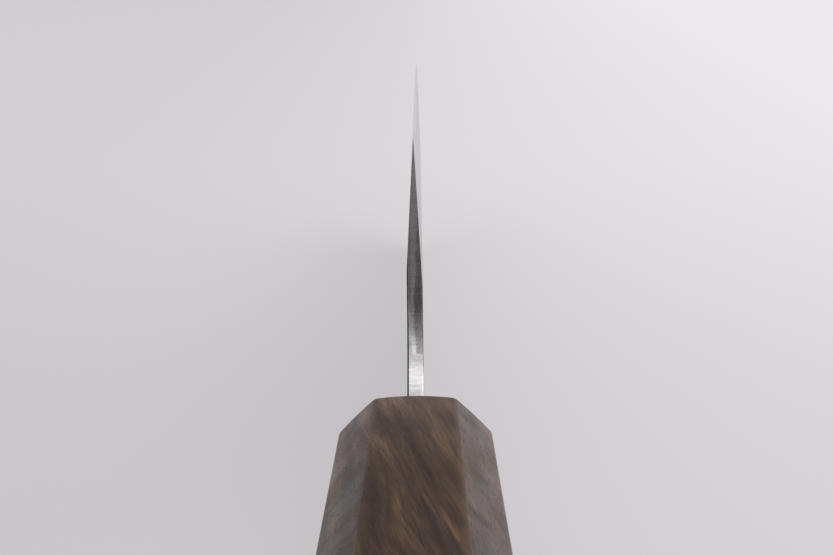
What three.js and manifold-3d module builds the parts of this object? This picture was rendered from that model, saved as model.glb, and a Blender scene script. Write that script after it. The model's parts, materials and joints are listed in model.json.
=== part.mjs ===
// A bunka kitchen knife: a three-layer forged blade with a reverse-angled tip, glued by its
// hidden tang into a one-piece octagonal wooden handle.
//
// Millimetres, +Z up. The pieces are drawn in the knife's own axes: +X from the handle to the tip,
// +Y to the left, +Z towards the cutting edge, origin at the middle of the handle's front face.
// The whole knife is then set down as it stands by itself with its edge up, resting on the
// handle's front rim and on the corner of its spine.

import * as THREE from "three";
import { mergeVertices } from "three/addons/utils/BufferGeometryUtils.js";
import Module from "manifold-3d";

const wasm = await Module();
wasm.setup();

// Handle
const HANDLE_LENGTH = 130;
const FRONT_WIDTH = 18;
const FRONT_HEIGHT = 20.9; // without the crown of the belly facet
const HANDLE_TAPER = 1.14; // size of the butt section over the front section
const CORNER_CUT = 4.35; // leg of the 45 degree corner facets at the front
const FACET_CROWN = 0.3; // rise of the belly facet in its middle
const FACING_UP = 0.5; // facets whose normals rise more than this are crowned
const ARRIS_RADIUS = 0.9; // easing of the long edges between facets
const RIM_EASE = 0.5; // rounding of the front and butt rims

// Blade outline, measured from the handle's front face and axis
const NECK_LENGTH = 14; // handle to heel
const BLADE_LENGTH = 165; // heel to tip
const HEEL_EDGE = 38.9; // cutting edge above the handle's axis, at the heel
const NECK_TOP = 6.5; // neck, on the edge side
const SPINE_BOTTOM = -8; // neck and spine, on the spine side
const CHOIL_RAKE = 2; // how far the choil leans forward from the heel to the neck
const CHOIL_RADIUS = 10; // curve from the choil into the neck
const TIP_DROP = 8.5; // the tip lies this much nearer the spine than the heel
const TIP_CUT_RUN = 34; // length of the angled tip along the blade
const SPINE_RISE = 1.8; // the spine leans this much towards the edge at the tip corner
const SPINE_BEND = 0.42; // where the spine starts to lean, before the tip corner, in blade lengths
const SPINE_BEND_HALF = 0.27; // half of the curve that the lean takes, in blade lengths
const TIP_CORNER_RADIUS = 4;

// The cutting edge's two handles, as shares of the blade length and rises above the heel
const EDGE_FLAT = { along: 0.37, rise: 1.5 };
const EDGE_BELLY = { along: 0.73, rise: 0.7 };

// Blade section
const NECK_THICKNESS = 2.2;
const TIP_THICKNESS = 1.1;
const FLAT_TAPER = 0.0035; // thickness lost per millimetre from the spine towards the ridge line
const BEVEL_LEFT = 17.2; // cutting edge to the ridge line at the heel
const BEVEL_RIGHT = 19.5; // the grinder took a little more off this side
const BEVEL_NARROWING = 0.87; // bevel height at the tip over that at the heel
const BEVEL_CROWN = 0.012; // bulge of the bevel at half its height, each side
const MICRO_BEVEL = 0.5; // height of the final sharpening bevel
const MICRO_THICKNESS = 0.09;
const SPINE_EASE = 0.15; // rounding of the spine's and choil's corners
const SPINE_EASE_DEPTH = 0.25;

// Layers of the blade
const CORE_SHARE = 0.26; // core thickness over blade thickness
const WELD_WAVE = 0.035; // forged waviness of the weld faces
const WELD_WAVE_LENGTH = 47;
const WELD_WAVE_START = 16; // the waves grow to their full height over this length from the heel
const WELD_WAVE_TIP = 0.6; // height of the waves at the tip over that at the heel
const WELD_RIPPLES = [
  { share: 1, pace: 1, phase: 0 },
  { share: 0.6, pace: 2.3, phase: 1 },
  { share: 0.3, pace: 5.1, phase: 2 },
];

// Hidden tang and its glue
const SHOULDER_DEPTH = 3; // the tang narrows this far inside the handle
const TANG_LENGTH = 92;
const TANG_HEIGHT_FRONT = 11;
const TANG_HEIGHT_END = 6;
const SLOT_WIDTH = 3.6;
const SLOT_CLEARANCE = 0.8; // slot round the tang
const GLUE_GAP = 0.15; // left free on each side of the glue

// Fineness of curves
const FACET_STEPS = 7;
const OUTLINE_STEPS = 32;
const EASE_STEPS = 3;
const BAR_STATIONS = 64;
const SHEET_STATIONS = 128;
const SAME_POINT = 1e-4; // points nearer than this are one

// Worked-out places
const TIP_X = NECK_LENGTH + BLADE_LENGTH;
const TIP_Z = HEEL_EDGE - TIP_DROP;
const TIP_CORNER = new THREE.Vector2(TIP_X - TIP_CUT_RUN, SPINE_BOTTOM + SPINE_RISE);
const NECK_MIDDLE = (NECK_TOP + SPINE_BOTTOM) / 2;
const CLEAR = 15; // how far cutting tools reach past the blade

// The cutting edge: nearly flat from the heel, then a slow belly up to the tip.
const EDGE = new THREE.CubicBezierCurve(
  new THREE.Vector2(NECK_LENGTH, HEEL_EDGE),
  new THREE.Vector2(NECK_LENGTH + EDGE_FLAT.along * BLADE_LENGTH, HEEL_EDGE + EDGE_FLAT.rise),
  new THREE.Vector2(NECK_LENGTH + EDGE_BELLY.along * BLADE_LENGTH, HEEL_EDGE + EDGE_BELLY.rise),
  new THREE.Vector2(TIP_X, TIP_Z),
);

// A closed three.js geometry as a solid that can be cut and joined.
function solidOf(geometry) {
  const bare = geometry.clone();
  bare.deleteAttribute("normal");
  bare.deleteAttribute("uv");
  const merged = mergeVertices(bare, SAME_POINT);
  return new wasm.Manifold(
    new wasm.Mesh({
      numProp: 3,
      vertProperties: new Float32Array(merged.attributes.position.array),
      triVerts: new Uint32Array(merged.index.array),
    }),
  );
}

// A solid back as a three.js geometry.
function geometryOf(solid) {
  const mesh = solid.getMesh();
  const geometry = new THREE.BufferGeometry();
  geometry.setAttribute("position", new THREE.BufferAttribute(mesh.vertProperties, 3));
  geometry.setIndex(new THREE.BufferAttribute(mesh.triVerts, 1));
  geometry.computeVertexNormals();
  return geometry;
}

// A closed solid through sections that stand along X. Each section is { x, ring }, and its ring
// lists [y, z] points anticlockwise as seen from the tip, the same number in every section.
function loft(sections) {
  const count = sections[0].ring.length;
  const positions = sections.flatMap(({ x, ring }) => ring.flatMap(([y, z]) => [x, y, z]));
  const indices = [];
  for (let s = 0; s + 1 < sections.length; s++) {
    for (let i = 0; i < count; i++) {
      const a = s * count + i;
      const b = s * count + ((i + 1) % count);
      indices.push(a, b, a + count, b, b + count, a + count);
    }
  }
  const cap = (ring) => THREE.ShapeUtils.triangulateShape(ring.map(([y, z]) => new THREE.Vector2(y, z)), []);
  const last = (sections.length - 1) * count;
  cap(sections[0].ring).forEach(([a, b, c]) => indices.push(a, c, b));
  cap(sections.at(-1).ring).forEach(([a, b, c]) => indices.push(last + a, last + b, last + c));
  const geometry = new THREE.BufferGeometry();
  geometry.setAttribute("position", new THREE.Float32BufferAttribute(positions, 3));
  geometry.setIndex(indices);
  return geometry;
}

// The arc that rounds a corner between the point before it and the point after it.
function cornerArc(before, corner, after, radius) {
  const back = before.clone().sub(corner).normalize();
  const on = after.clone().sub(corner).normalize();
  const half = Math.acos(THREE.MathUtils.clamp(back.dot(on), -1, 1)) / 2;
  const reach = radius / Math.tan(half);
  const start = corner.clone().addScaledVector(back, reach);
  const end = corner.clone().addScaledVector(on, reach);
  const bisector = back.clone().add(on).normalize();
  const centre = corner.clone().addScaledVector(bisector, radius / Math.sin(half));
  const clockwise = back.cross(on) > 0;
  return { start, end, centre, radius, clockwise };
}

// Draws an arc on to a path, which first runs straight to the arc's start.
function addArc(path, { start, end, centre, radius, clockwise }) {
  const from = start.clone().sub(centre).angle();
  const to = end.clone().sub(centre).angle();
  path.absarc(centre.x, centre.y, radius, from, to, clockwise);
}

// An outline in the XZ plane as a plate of the given thickness about the knife's middle plane, with
// its outer corners eased by that much over that depth.
function plate(shape, thickness, ease = 0, easeDepth = 0) {
  const geometry = new THREE.ExtrudeGeometry(shape, {
    depth: thickness - 2 * easeDepth,
    curveSegments: OUTLINE_STEPS,
    bevelEnabled: ease > 0,
    bevelSize: ease,
    bevelOffset: -ease,
    bevelThickness: easeDepth,
    bevelSegments: EASE_STEPS,
  });
  geometry.translate(0, 0, easeDepth - thickness / 2);
  return geometry.rotateX(Math.PI / 2);
}

// Adds the hidden tang to an outline that has come back along the neck's edge side, and ends at
// the shoulder on the spine side. The margin grows it all round.
function addTang(path, margin = 0) {
  const shoulder = -SHOULDER_DEPTH - margin;
  const end = -TANG_LENGTH - margin;
  const frontHalf = TANG_HEIGHT_FRONT / 2 + margin;
  const endHalf = TANG_HEIGHT_END / 2 + margin;
  path.lineTo(shoulder, NECK_TOP + margin);
  path.lineTo(shoulder, NECK_MIDDLE + frontHalf);
  path.lineTo(end + endHalf, NECK_MIDDLE + endHalf);
  path.absarc(end + endHalf, NECK_MIDDLE, endHalf, Math.PI / 2, 1.5 * Math.PI, false);
  path.lineTo(shoulder, NECK_MIDDLE - frontHalf);
  path.lineTo(shoulder, SPINE_BOTTOM - margin);
}

// The outline that the forged bar is cut to: spine, angled tip, choil, neck and tang. It stays clear
// of the cutting edge, which the bar's own bevels make.
function bladeOutline() {
  const heel = new THREE.Vector2(NECK_LENGTH, HEEL_EDGE);
  const neckCorner = new THREE.Vector2(NECK_LENGTH + CHOIL_RAKE, NECK_TOP);
  const choilUp = heel.clone().sub(neckCorner).normalize();
  const tip = new THREE.Vector2(TIP_X, TIP_Z);
  const pastTip = tip.clone().addScaledVector(tip.clone().sub(TIP_CORNER).normalize(), CLEAR);
  const spineBend = new THREE.Vector2(TIP_CORNER.x - SPINE_BEND * BLADE_LENGTH, SPINE_BOTTOM);
  const spineLean = TIP_CORNER.clone().sub(spineBend).normalize();
  const bendHalf = SPINE_BEND_HALF * BLADE_LENGTH;
  const spineEnd = spineBend.clone().addScaledVector(spineLean, bendHalf);

  const outline = new THREE.Shape();
  outline.moveTo(-SHOULDER_DEPTH, SPINE_BOTTOM);
  outline.lineTo(spineBend.x - bendHalf, SPINE_BOTTOM);
  outline.quadraticCurveTo(spineBend.x, spineBend.y, spineEnd.x, spineEnd.y);
  const tipArc = cornerArc(spineEnd, TIP_CORNER, tip, TIP_CORNER_RADIUS);
  addArc(outline, tipArc);
  outline.lineTo(pastTip.x, pastTip.y);
  const aboveHeel = heel.clone().addScaledVector(choilUp, CLEAR);
  outline.lineTo(pastTip.x, aboveHeel.y);
  outline.lineTo(aboveHeel.x, aboveHeel.y);
  addArc(outline, cornerArc(heel, neckCorner, new THREE.Vector2(0, NECK_TOP), CHOIL_RADIUS));
  addTang(outline);
  return { outline, cornerCentre: tipArc.centre };
}

// Half the thickness of the flats, which are planes: thinner towards the tip and the ridge line.
function flatHalf(x, z) {
  const along = Math.max(0, x / TIP_X);
  const thickness = THREE.MathUtils.lerp(NECK_THICKNESS, TIP_THICKNESS, along);
  return (thickness - FLAT_TAPER * (z - SPINE_BOTTOM)) / 2;
}

// One side of the bar's section at x, from below the spine up to the cutting edge at height edge:
// the flat up to the ridge line, the slightly bulged bevel and the sharpening bevel.
function barSide(x, edge, heelBevel) {
  const along = THREE.MathUtils.clamp((x - NECK_LENGTH) / BLADE_LENGTH, 0, 1);
  const bevel = heelBevel * THREE.MathUtils.lerp(1, BEVEL_NARROWING, along);
  const bottom = SPINE_BOTTOM - CLEAR;
  const ridgeHalf = flatHalf(x, edge - bevel);
  return [
    [flatHalf(x, bottom), bottom],
    [ridgeHalf, edge - bevel],
    [ridgeHalf / 2 + BEVEL_CROWN, edge - bevel / 2],
    [MICRO_THICKNESS / 2, edge - MICRO_BEVEL],
  ];
}

function barSection(x, edge) {
  const left = barSide(x, edge, BEVEL_LEFT);
  const right = barSide(x, edge, BEVEL_RIGHT).map(([y, z]) => [-y, z]);
  return { x, ring: [...left, [0, edge], ...right.reverse()] };
}

// The bar, ground to its taper and bevels but not yet cut to its outline.
function groundBar() {
  const points = EDGE.getSpacedPoints(BAR_STATIONS);
  const slope = EDGE.getTangent(1);
  const sections = points.map((p) => barSection(p.x, p.y));
  sections.unshift(barSection(-TANG_LENGTH - CLEAR, HEEL_EDGE), barSection(0, HEEL_EDGE));
  sections.push(barSection(TIP_X + CLEAR, TIP_Z + (CLEAR * slope.y) / slope.x));
  return loft(sections);
}

// The middle layer before it is ground: its faces taper with the bar and wave a little, as
// forging leaves them, so that the weld line shows wavy on the bevels.
function coreSheet() {
  const bottom = SPINE_BOTTOM - 2 * CLEAR;
  const top = HEEL_EDGE + 2 * CLEAR;
  const section = (x) => {
    const turns = (2 * Math.PI * x) / WELD_WAVE_LENGTH;
    const wave = WELD_RIPPLES.reduce((sum, r) => sum + r.share * Math.sin(r.pace * turns + r.phase), 0);
    const growth = THREE.MathUtils.smoothstep(x, NECK_LENGTH, NECK_LENGTH + WELD_WAVE_START);
    const height = WELD_WAVE * growth * THREE.MathUtils.lerp(1, WELD_WAVE_TIP, x / TIP_X);
    const half = CORE_SHARE * flatHalf(x, 0) + height * wave;
    return { x, ring: [[half, bottom], [half, top], [-half, top], [-half, bottom]] };
  };
  const sections = [section(-TANG_LENGTH - 2 * CLEAR), section(0)];
  for (let i = 0; i <= SHEET_STATIONS; i++) {
    sections.push(section(NECK_LENGTH + (i * BLADE_LENGTH) / SHEET_STATIONS));
  }
  sections.push(section(TIP_X + 2 * CLEAR));
  return loft(sections);
}

// The handle's octagonal section at its front, with eased edges between the facets. The facet on
// the belly is crowned, those beside it less so, and the others are planed flat.
function handleSection() {
  const halfWidth = FRONT_WIDTH / 2;
  const halfHeight = FRONT_HEIGHT / 2;
  const quarter = [
    [halfWidth, halfHeight - CORNER_CUT],
    [halfWidth - CORNER_CUT, halfHeight],
  ];
  const corners = [[1, 1], [-1, 1], [-1, -1], [1, -1]].flatMap(([sx, sy]) => {
    const pair = quarter.map(([x, y]) => new THREE.Vector2(sx * x, sy * y));
    return sx * sy > 0 ? pair : pair.reverse();
  });
  const arcs = corners.map((corner, i) => {
    const before = corners.at(i - 1);
    const after = corners[(i + 1) % corners.length];
    return cornerArc(before, corner, after, ARRIS_RADIUS);
  });
  const section = new THREE.Shape();
  section.moveTo(arcs[0].start.x, arcs[0].start.y);
  arcs.forEach((arc, i) => {
    addArc(section, arc);
    const next = arcs[(i + 1) % arcs.length].start;
    const outward = new THREE.Vector2(next.y - arc.end.y, arc.end.x - next.x).normalize();
    if (outward.y < FACING_UP) return;
    const crown = FACET_CROWN * outward.y ** 3;
    const control = arc.end.clone().lerp(next, 0.5).addScaledVector(outward, 2 * crown);
    section.quadraticCurveTo(control.x, control.y, next.x, next.y);
  });
  return section;
}

// The handle: the octagon drawn out along the knife, larger towards the butt, with a slot for the tang.
function handleGeometry() {
  const body = new THREE.ExtrudeGeometry(handleSection(), {
    depth: HANDLE_LENGTH - 2 * RIM_EASE,
    curveSegments: FACET_STEPS,
    bevelSize: RIM_EASE,
    bevelOffset: -RIM_EASE,
    bevelThickness: RIM_EASE,
    bevelSegments: EASE_STEPS,
  });
  body.translate(0, 0, RIM_EASE);
  const place = body.getAttribute("position");
  for (let i = 0; i < place.count; i++) {
    const scale = THREE.MathUtils.lerp(1, HANDLE_TAPER, place.getZ(i) / HANDLE_LENGTH);
    place.setXY(i, place.getX(i) * scale, place.getY(i) * scale);
  }
  // The section's x, y and depth become the knife's +Y, +Z and -X.
  const turn = new THREE.Matrix4().set(0, 0, -1, 0, -1, 0, 0, 0, 0, 1, 0, 0, 0, 0, 0, 1);
  body.applyMatrix4(turn);
  const slot = plate(tangSlot(SLOT_CLEARANCE, CLEAR), SLOT_WIDTH);
  return geometryOf(solidOf(body).subtract(solidOf(slot)));
}

// The slot's outline: the tang grown by a margin, open past the handle's front face by reach.
function tangSlot(margin, reach) {
  const outline = new THREE.Shape();
  outline.moveTo(-SHOULDER_DEPTH - margin, SPINE_BOTTOM - margin);
  outline.lineTo(reach, SPINE_BOTTOM - margin);
  outline.lineTo(reach, NECK_TOP + margin);
  addTang(outline, margin);
  return outline;
}

// The glue that beds the tang: it fills the slot up to the handle's front face.
function glueGeometry() {
  const fill = plate(tangSlot(SLOT_CLEARANCE - GLUE_GAP, -GLUE_GAP), SLOT_WIDTH - 2 * GLUE_GAP);
  const bed = plate(tangSlot(GLUE_GAP, CLEAR), NECK_THICKNESS + 2 * GLUE_GAP);
  return geometryOf(solidOf(fill).subtract(solidOf(bed)));
}

// The blade's layers: the bar cut to its outline and parted along the core's faces.
function bladeLayers(outline) {
  const cutter = plate(outline, NECK_THICKNESS, SPINE_EASE, SPINE_EASE_DEPTH);
  const blank = solidOf(groundBar()).intersect(solidOf(cutter));
  const sheet = solidOf(coreSheet());
  const middleY = (solid) => solid.boundingBox().min[1] + solid.boundingBox().max[1];
  const [right, left] = blank
    .subtract(sheet)
    .decompose()
    .sort((a, b) => middleY(a) - middleY(b));
  return { core: blank.intersect(sheet), left, right };
}

function piece(name, geometry, color, roughness, metalness) {
  const mesh = new THREE.Mesh(geometry, new THREE.MeshStandardMaterial({ color, roughness, metalness }));
  mesh.name = name;
  return mesh;
}

// The lean at which a straight floor touches both the handle's front rim and the spine's corner.
function restingLean(cornerCentre) {
  const rim = new THREE.Vector2(-RIM_EASE, -FRONT_HEIGHT / 2);
  const across = cornerCentre.clone().sub(rim);
  return Math.atan2(across.y, across.x) - Math.asin(TIP_CORNER_RADIUS / across.length());
}

const { outline, cornerCentre } = bladeOutline();
const layers = bladeLayers(outline);

const knife = new THREE.Group();
knife.add(
  piece("core_steel", geometryOf(layers.core), 0xb9bcbe, 0.22, 1),
  piece("cladding_left", geometryOf(layers.left), 0x55565a, 0.45, 1),
  piece("cladding_right", geometryOf(layers.right), 0x55565a, 0.45, 1),
  piece("handle", handleGeometry(), 0x4f3d30, 0.5, 0),
  piece("tang_glue", glueGeometry(), 0x2a2420, 0.4, 0),
);
knife.rotation.y = restingLean(cornerCentre);

const part = new THREE.Group();
part.add(knife);
part.updateMatrixWorld(true);
const bounds = new THREE.Box3().setFromObject(part, true);
knife.position.set(-(bounds.min.x + bounds.max.x) / 2, 0, -bounds.min.z);

export default part;
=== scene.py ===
"""Finishes a bunka knife: laminated blade, oiled octagonal handle, glue at the neck, plain studio."""

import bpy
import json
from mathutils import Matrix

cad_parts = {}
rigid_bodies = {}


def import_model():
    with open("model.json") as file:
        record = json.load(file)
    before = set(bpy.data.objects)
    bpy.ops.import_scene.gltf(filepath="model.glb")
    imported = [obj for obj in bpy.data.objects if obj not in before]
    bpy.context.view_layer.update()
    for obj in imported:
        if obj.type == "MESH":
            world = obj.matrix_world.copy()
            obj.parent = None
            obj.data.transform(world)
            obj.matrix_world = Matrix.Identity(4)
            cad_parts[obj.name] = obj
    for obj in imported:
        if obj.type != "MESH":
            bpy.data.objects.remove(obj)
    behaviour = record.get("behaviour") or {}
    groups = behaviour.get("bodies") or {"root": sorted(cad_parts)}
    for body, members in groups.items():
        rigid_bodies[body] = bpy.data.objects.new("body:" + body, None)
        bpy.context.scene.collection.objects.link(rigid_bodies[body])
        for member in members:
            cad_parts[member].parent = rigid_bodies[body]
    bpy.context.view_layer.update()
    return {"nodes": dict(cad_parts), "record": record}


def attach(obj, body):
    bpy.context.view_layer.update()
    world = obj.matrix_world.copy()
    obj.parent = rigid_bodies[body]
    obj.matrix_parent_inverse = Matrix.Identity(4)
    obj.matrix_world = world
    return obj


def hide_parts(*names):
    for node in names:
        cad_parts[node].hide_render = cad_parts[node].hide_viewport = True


bl_info = {
    "name": "Bunka knife",
    "version": (1, 0, 0),
    "blender": (4, 5, 0),
    "location": "View3D > Sidebar > Knife",
    "description": "Models and finishes the pieces of a bunka knife and lights them in a plain studio",
    "category": "Object",
}

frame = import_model()

import json
import math

import bmesh
import bpy
import numpy as np
from bpy.props import FloatProperty, FloatVectorProperty, PointerProperty
from mathutils import Matrix, Vector

MM = 0.001
BODY = "root"
MOUNTS = {mount["name"]: mount for mount in frame["record"]["mounts"]}


def knife_axes():
    """The knife's own axes in the row frame: +X to the tip, +Z to the cutting edge.

    Their origin is the middle of the handle's front.
    """
    butt = MOUNTS["butt_face"]
    forward = -Vector(butt["axis"]).normalized()
    left = Vector((0, 1, 0))
    along = [forward.dot(vertex.co) for vertex in frame["nodes"]["handle"].data.vertices]
    axes = Matrix((forward, left, forward.cross(left))).transposed().to_4x4()
    axes.translation = Vector(butt["pos_m"]) + forward * (max(along) - min(along))
    return axes


KNIFE = knife_axes()


def node_in_knife(node):
    """A CAD node's vertices in the knife's own axes, one row each, in metres."""
    to_knife = KNIFE.inverted()
    return np.array([to_knife @ vertex.co for vertex in frame["nodes"][node].data.vertices])


HANDLE_LENGTH = float(np.ptp(node_in_knife("handle")[:, 0]))
GLUE = node_in_knife("tang_glue")
GLUE_LOW = Vector(GLUE.min(0))
GLUE_HIGH = Vector(GLUE.max(0))


# Properties

COLOUR = {"subtype": "COLOR", "min": 0, "max": 1}
LENGTH = {"unit": "LENGTH", "subtype": "DISTANCE"}


class KnifeBladeSettings(bpy.types.PropertyGroup):
    """Colours and finish of the blade's layers."""

    core_colour: FloatVectorProperty(
        name="Core steel", description="Hard steel at the cutting edge",
        default=(0.56, 0.57, 0.57), **COLOUR,
    )
    bevel_colour: FloatVectorProperty(
        name="Ground cladding", description="Soft steel where it is ground",
        default=(0.47, 0.47, 0.465), **COLOUR,
    )
    rim_colour: FloatVectorProperty(
        name="Ground rims", description="Soft steel on the choil and the spine",
        default=(0.582, 0.577, 0.569), **COLOUR,
    )
    scale_colour: FloatVectorProperty(
        name="Forge scale", description="Dark scale left on the flats",
        default=(0.022, 0.022, 0.024), **COLOUR,
    )
    scale_depth: FloatProperty(
        name="Scale depth", description="How far the scale wraps over the corners of the choil and spine",
        default=0.16 * MM, **LENGTH,
    )
    mark_pitch: FloatProperty(name="Grinding marks", description="Marks per millimetre", default=4.0)


class KnifeHandleSettings(bpy.types.PropertyGroup):
    """Sizes of the octagonal handle and the colours of its wood."""

    front_width: FloatProperty(
        name="Front width", description="Width across the side facets at the front",
        default=18 * MM, **LENGTH,
    )
    front_height: FloatProperty(
        name="Front height",
        description="Height across the belly and spine facets at the front, without the crown",
        default=20.9 * MM, **LENGTH,
    )
    corner_cut: FloatProperty(
        name="Corner cut", description="Leg of the corner facets at the front", default=4.35 * MM, **LENGTH,
    )
    taper: FloatProperty(
        name="Taper", description="Size of the butt section over the front section", default=1.14,
    )
    crown: FloatProperty(
        name="Belly crown", description="Rise of the belly facet in its middle", default=0.3 * MM, **LENGTH,
    )
    arris: FloatProperty(
        name="Arris", description="Width of the easing on each side of a long edge",
        default=0.38 * MM, **LENGTH,
    )
    rim: FloatProperty(
        name="Rim", description="Width of the easing round the front and the butt",
        default=0.5 * MM, **LENGTH,
    )
    slot_gap: FloatProperty(
        name="Slot gap", description="Free space between the slot and the glue",
        default=0.15 * MM, **LENGTH,
    )
    dark_wood: FloatVectorProperty(
        name="Dark streaks", description="Darkest streaks", default=(0.0355, 0.0212, 0.0168), **COLOUR,
    )
    middle_wood: FloatVectorProperty(
        name="Brown wood", description="Most of the wood", default=(0.067, 0.0385, 0.025), **COLOUR,
    )
    light_wood: FloatVectorProperty(
        name="Light streaks", description="Orange-brown streaks", default=(0.122, 0.067, 0.035), **COLOUR,
    )
    # Painted sheen: paler wood at the front of the handle, standing in for its grazing reflection
    front_sheen_wood: FloatVectorProperty(
        name="Front sheen wood", description="Wood painted paler at the front as its sheen",
        default=(0.150, 0.101, 0.077), **COLOUR,
    )
    grain_skew: FloatProperty(
        name="Grain skew", description="Angle of the grain to the handle, seen from above",
        subtype="ANGLE", default=math.radians(11.5),
    )


class KnifeStageSettings(bpy.types.PropertyGroup):
    """The floor, the light and the camera."""

    floor_colour: FloatVectorProperty(
        name="Floor", description="Pale floor", default=(0.765, 0.73, 0.76), **COLOUR,
    )
    backdrop_colour: FloatVectorProperty(
        name="Backdrop", description="Light from the pale surroundings near the horizon",
        default=(0.40, 0.385, 0.40), **COLOUR,
    )
    room_colour: FloatVectorProperty(
        name="Room", description="Light from the dim room above the backdrop",
        default=(0.11, 0.11, 0.115), **COLOUR,
    )
    ceiling_level: FloatProperty(
        name="Ceiling", description="Light from the pale ceiling overhead", default=1.6,
    )
    softbox_power: FloatProperty(
        name="Softbox power", description="Power of the softbox on the right", unit="POWER", default=6.0,
    )
    lens: FloatProperty(
        name="Lens", description="Focal length in millimetres on a 36 mm sensor", default=58.1,
    )
    camera_place: FloatVectorProperty(
        name="Camera place", description="Camera in the knife's own axes",
        subtype="XYZ", unit="LENGTH", default=(-148.56 * MM, -1.183 * MM, 62.72 * MM),
    )
    camera_turn: FloatVectorProperty(
        name="Camera turn", description="Yaw to the left, pitch down and roll, from looking along the knife",
        subtype="EULER", unit="ROTATION",
        default=(math.radians(0.331), math.radians(14.301), math.radians(-0.6213)),
    )


# Modelling helpers

DOUBLES = 0.001 * MM  # vertices nearer to each other than this are one


def only(piece):
    """Makes one piece the only selected one, and the active one."""
    for other in bpy.context.view_layer.objects:
        other.select_set(other is piece)
    bpy.context.view_layer.objects.active = piece


def edit_selection(piece, kind, wanted):
    """Goes into edit mode on a piece and selects the vertices or edges that pass the test."""
    only(piece)
    bpy.ops.object.mode_set(mode="EDIT")
    bpy.ops.mesh.select_mode(type=kind)
    bpy.ops.mesh.select_all(action="DESELECT")
    mesh = bmesh.from_edit_mesh(piece.data)
    mesh.normal_update()
    elements = {"VERT": mesh.verts, "EDGE": mesh.edges}[kind]
    chosen = [element for element in elements if wanted(element)]
    if not chosen:
        raise RuntimeError(f"nothing to select on {piece.name}")
    for element in chosen:
        element.select_set(True)
    mesh.select_flush_mode()
    bmesh.update_edit_mesh(piece.data)


def leave_edit():
    bpy.ops.object.mode_set(mode="OBJECT")


def bevel_edges(piece, wanted, width, segments=1):
    """Bevels the edges of a piece that pass the test."""
    edit_selection(piece, "EDGE", wanted)
    bpy.ops.mesh.bevel(offset=width, offset_type="OFFSET", segments=segments, affect="EDGES")
    leave_edit()


def apply_modifier(piece, kind, **settings):
    """Adds a modifier to a piece, sets it up and applies it."""
    only(piece)
    modifier = piece.modifiers.new(kind.title(), kind)
    for name, value in settings.items():
        setattr(modifier, name, value)
    bpy.ops.object.modifier_apply(modifier=modifier.name)


def add_block(name, low, high):
    """A box between two corners, with its place in its mesh."""
    bpy.ops.object.select_all(action="DESELECT")
    bpy.ops.mesh.primitive_cube_add(size=1, location=(low + high) / 2, scale=high - low)
    block = bpy.context.active_object
    block.name = block.data.name = name
    bpy.ops.object.transform_apply(location=True, rotation=True, scale=True)
    return block


def copy_of(node, name):
    """A welded copy of a CAD node's mesh."""
    piece = bpy.data.objects.new(name, frame["nodes"][node].data.copy())
    bpy.context.scene.collection.objects.link(piece)
    piece.data.materials.clear()
    only(piece)
    bpy.ops.object.mode_set(mode="EDIT")
    bpy.ops.mesh.select_all(action="SELECT")
    bpy.ops.mesh.remove_doubles(threshold=DOUBLES)
    leave_edit()
    bpy.ops.mesh.customdata_custom_splitnormals_clear()
    return piece


def shade(piece, sharp):
    """Smooth shading that keeps the edges that pass the test sharp and large faces flat."""
    edit_selection(piece, "EDGE", sharp)
    bpy.ops.mesh.mark_sharp()
    leave_edit()
    bpy.ops.object.shade_smooth()
    apply_modifier(piece, "WEIGHTED_NORMAL", keep_sharp=True)


def stand_in(piece, node, material):
    """Puts a finished piece in a CAD node's place."""
    piece.data.materials.append(material)
    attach(piece, BODY)
    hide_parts(node)


# Node helpers


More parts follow.
